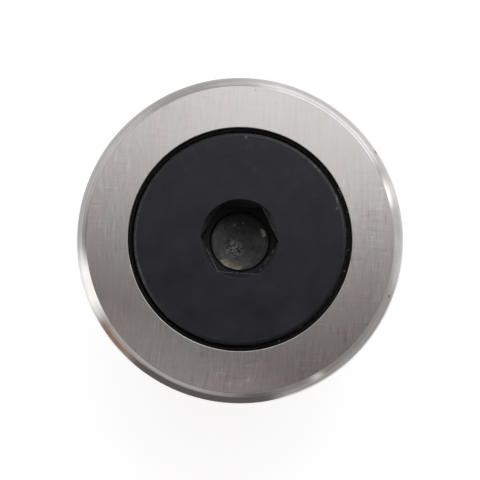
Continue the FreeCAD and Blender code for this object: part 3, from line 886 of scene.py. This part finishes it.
# Flake of dried grease on the drilled cone: a flat blob with a wavy rim. Its plan is an oval with squarer
# ends, reach along the wall and reach across it, its height follows the cone, and its thickness goes as the
# sine of the row's angle. It is palest along the wall and at its left end.
def makeFlake(flake):
    p = flakeForm
    reachAlong, reachAcross = flake["reach"]
    rim = wholeTurn(p["columns"])
    rows = np.radians(np.linspace(-p["pole"], p["pole"], p["rows"]))[:, None]
    wave = 1 + sum(size * np.sin(lobes * rim + wobbles * flake["wobble"])
                   for size, lobes, wobbles in p["waves"])
    ovalAlong, ovalAcross = (np.sign(part) * np.abs(part) ** p["squareness"]
                             for part in (np.cos(rim), np.sin(rim)))
    along = reachAlong * np.cos(rows) * wave * ovalAlong
    across = reachAcross * np.cos(rows) * wave * ovalAcross
    radii = np.minimum(flake["radius"] + across, stud["pilot"] - p["wallGap"])
    turn = np.radians(camera["turn"] - flake["around"]) + along / flake["radius"]
    ripple = 1 + p["ripple"] * np.sin(p["rippleAlong"] * along + p["rippleAcross"] * across)
    heights = coneHeight(radii) + flake["thick"] * (p["dome"] * np.sin(rows) + p["lift"]) * ripple
    grid = np.stack([radii * np.cos(turn), radii * np.sin(turn), heights], -1) * mm
    tips = np.stack([grid[0].mean(0), grid[-1].mean(0)])
    piece = skin(flake["name"], grid, np.zeros(len(grid), int), [greaseLook], tips)
    paleness = flake["paleness"] + p["paleAcross"] * across / reachAcross
    paleness -= p["paleAlong"] * along / reachAlong
    paleness = np.append(paleness.ravel(), [flake["paleness"]] * len(tips))
    piece.data.attributes.new("paleness", "FLOAT", "POINT").data.foreach_set("value", np.clip(paleness, 0, 1))
    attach(piece, "stud")


for flake in flakes:
    makeFlake(flake)
print("dried grease laid in the socket")


for name, node in nodes.items():
    if "_roller_" in name:
        node.data.materials.clear()
        node.data.materials.append(rollerLook)
print("rollers dressed")


studio = {"floorHeight": -50.0, "floorSize": 6.0, "floorColour": (0.88, 0.89, 0.9, 1), "floorRough": 0.8,
          "floorGlow": 0.66, "white": (1, 1, 1, 1)}


# Pale floor: lit like any floor, with some of its white given to the rays that see or mirror it.
def makeFloor():
    size, z = studio["floorSize"] / 2, studio["floorHeight"] * mm
    mesh = bpy.data.meshes.new("floor")
    square = [(-size, -size, z), (size, -size, z), (size, size, z), (-size, size, z)]
    mesh.from_pydata(square, [], [(0, 1, 2, 3)])
    floor = bpy.data.objects.new("floor", mesh)
    bpy.context.scene.collection.objects.link(floor)
    material, tree, shader = newMaterial("paleFloor", Roughness=studio["floorRough"])
    shader.inputs["Base Color"].default_value = studio["floorColour"]
    shader.inputs["Specular IOR Level"].default_value = 0.0
    path = addNode(tree, "LightPath")
    seen = calc(tree, "MAXIMUM", path.outputs["Is Camera Ray"], path.outputs["Is Glossy Ray"])
    seen = calc(tree, "MAXIMUM", seen, path.outputs["Is Transmission Ray"])
    glow = addNode(tree, "Emission", {"Color": studio["white"],
                                      "Strength": calc(tree, "MULTIPLY", seen, studio["floorGlow"])})
    showInstead(tree, addNode(tree, "AddShader", {0: shader.outputs[0], 1: glow.outputs[0]}))
    mesh.materials.append(material)


makeFloor()


# Spans are sines of the height above the floor over which level and colour go from the walls to the roof.
worldLight = {"overhead": 0.155, "horizon": 0.72, "levelSpan": (0.2, 0.95), "side": 0.5, "sideAround": 300,
              "wallColour": (1.0, 0.98, 0.97, 1), "roofColour": (1.0, 0.882, 0.845, 1),
              "colourSpan": (0.5, 0.9)}


# Dim overhead, where the camera hangs, and brighter towards the walls; white where the camera sees it.
def makeWorld():
    p = worldLight
    world = bpy.data.worlds.new("studio")
    bpy.context.scene.world = world
    world.use_nodes = True
    tree = world.node_tree
    tree.nodes.clear()
    place = addNode(tree, "TexCoord").outputs["Generated"]
    rise = addNode(tree, "SeparateXYZ", {0: place}).outputs[2]
    level = fit(tree, rise, *p["levelSpan"], p["horizon"], p["overhead"])
    lean = addNode(tree, "VectorMath", {0: place, 1: pictureDirection(p["sideAround"], 0)},
                   operation="DOT_PRODUCT").outputs["Value"]
    level = calc(tree, "MULTIPLY", level, calc(tree, "MULTIPLY_ADD", lean, p["side"], 1.0))
    seen = addNode(tree, "LightPath").outputs["Is Camera Ray"]
    roof = fit(tree, rise, *p["colourSpan"], 0.0, 1.0)
    colour = blendColour(tree, roof, p["wallColour"], p["roofColour"])
    colour = blendColour(tree, seen, colour, studio["white"])
    back = addNode(tree, "Background", {"Color": colour, "Strength": calc(tree, "MAXIMUM", level, seen)})
    end = addNode(tree, "OutputWorld")
    tree.links.new(back.outputs[0], end.inputs[0])


makeWorld()


lamp = {"name": "overheadBox", "around": 278.8, "above": 64.6, "distance": 0.8, "aimHeight": 28.0,
        "size": (0.6, 0.6), "power": 1.25, "colour": (0.98, 1.0, 1.035)}


def makeLamp():
    towards = pictureDirection(lamp["around"], lamp["above"])
    data = bpy.data.lights.new(lamp["name"], "AREA")
    data.shape = "RECTANGLE"
    data.size, data.size_y = lamp["size"]
    data.energy = lamp["power"]
    data.color = lamp["colour"]
    light = bpy.data.objects.new(lamp["name"], data)
    light.location = Vector((0, 0, lamp["aimHeight"] * mm)) + towards * lamp["distance"]
    light.rotation_mode = "QUATERNION"
    light.rotation_quaternion = (-towards).to_track_quat("-Z", "Y")
    bpy.context.scene.collection.objects.link(light)


makeLamp()


# Cards stand round the object outside the picture and only show in the metal, as a studio's reflectors do.
# Later ones stand nearer. Each is the angle of its middle in the picture, half its width, its low and high
# edge in degrees above the ring, the share that fades out, and its colour.
cards = {
    "skirtCard": (225, 56, -46, -6, 0.25, (0.81, 0.81, 0.815, 1)),
    "greyCard": (47, 38, -42, 42, 0.3, (0.595, 0.57, 0.555, 1)),
    "dimCard": (60, 36, -4, 44, 0.5, (0.45, 0.43, 0.422, 1)),
    "darkCard": (84, 12, 4, 32, 0.6, (0.22, 0.22, 0.22, 1)),
    "blackCard": (106, 34, -55, 9, 0.2, (0.194, 0.18, 0.177, 1)),
    "tanCard": (126, 40, 3, 46, 0.5, (0.72, 0.685, 0.665, 1)),
    "brownCard": (145, 14, -55, 8, 0.6, (0.48, 0.31, 0.25, 1)),
    "tanFoot": (138, 12, -2, 14, 0.6, (0.70, 0.61, 0.55, 1)),
    "leftWall": (220, 32, -24, 48, 0.7, (0.95, 0.95, 0.95, 1)),
    "topWall": (249, 15.5, -40, 42, 0.6, (0.69, 0.68, 0.69, 1)),
    "leftCard": (166, 15, -50, 60, 0.6, (2.0, 1.98, 1.95, 1)),
    "upperCard": (302, 28, -9, 44, 0.2, (1.42, 1.42, 1.47, 1)),
    "upperLine": (304, 26, 1, 10, 0.4, (2.0, 2.0, 2.05, 1)),
    "edgeLine": (304, 26, 23, 36, 0.3, (2.3, 2.3, 2.38, 1)),
    "footLine": (304, 26, -12, -5, 0.4, (1.5, 1.5, 1.52, 1)),
    "rightWall": (354, 17, -40, 46, 0.6, (0.97, 0.96, 0.95, 1)),
    "rightFoot": (339.5, 6.0, -42, 20, 0.8, (1.5, 1.5, 1.5, 1)),
    "rightCard": (339.5, 6.0, -6, 62, 0.8, (3.0, 3.0, 3.0, 1)),
    "spotCard": (59.0, 3.4, -24, 46, 0.9, (1.3, 1.27, 1.18, 1)),
}
cardPlace = {"centre": 27.0, "reach": 0.9, "reachStep": 0.02, "lift": 0.5, "liftStep": 0.3, "points": 33}


# A card is a patch of a sphere about the ring that lies on the floor where it would pass below it: point
# (i, j) = the centre + the direction of height i and angle j * the lesser of the reach and the way down to
# the floor.
def makeCard(name, layer):
    p = cardPlace
    around, half, low, high, soft, colour = cards[name]
    across = np.linspace(-1, 1, p["points"])
    upward = across[:, None]
    turn = np.radians(camera["turn"] - around - half * across)
    rise = np.radians((low + high) / 2 + (high - low) / 2 * upward)
    drop = (p["centre"] - studio["floorHeight"] - p["lift"] - layer * p["liftStep"]) * mm
    reach = np.minimum(p["reach"] - layer * p["reachStep"], drop / np.maximum(-np.sin(rise), tiny))
    grid = np.stack([reach * np.cos(rise) * np.cos(turn), reach * np.cos(rise) * np.sin(turn),
                     (reach * np.sin(rise) + p["centre"] * mm) * np.ones_like(turn)], -1)
    cover = np.clip((1 - np.abs(across)) / soft, 0, 1) * np.clip((1 - np.abs(upward)) / soft, 0, 1)
    ids = np.arange(grid[..., 0].size).reshape(grid.shape[:2])
    quads = np.stack([ids[:-1, :-1], ids[:-1, 1:], ids[1:, 1:], ids[1:, :-1]], -1).reshape(-1, 4)
    mesh = bpy.data.meshes.new(name)
    mesh.from_pydata(grid.reshape(-1, 3).tolist(), [], quads.tolist())
    mesh.attributes.new("cover", "FLOAT", "POINT").data.foreach_set("value", cover.ravel())
    material, tree = emptyMaterial(name)
    shown = addNode(tree, "Attribute", attribute_name="cover").outputs["Fac"]
    glow = addNode(tree, "Emission", {"Color": colour, "Strength": 1.0})
    clear = addNode(tree, "BsdfTransparent")
    both = addNode(tree, "MixShader", {0: shown, 1: clear.outputs[0], 2: glow.outputs[0]})
    end = addNode(tree, "OutputMaterial")
    tree.links.new(both.outputs[0], end.inputs[0])
    mesh.materials.append(material)
    board = bpy.data.objects.new(name, mesh)
    board.visible_camera = board.visible_diffuse = board.visible_shadow = board.visible_transmission = False
    bpy.context.scene.collection.objects.link(board)


for layer, name in enumerate(cards):
    makeCard(name, layer)
bpy.context.scene.view_settings.view_transform = "Standard"
print("floor and light set")
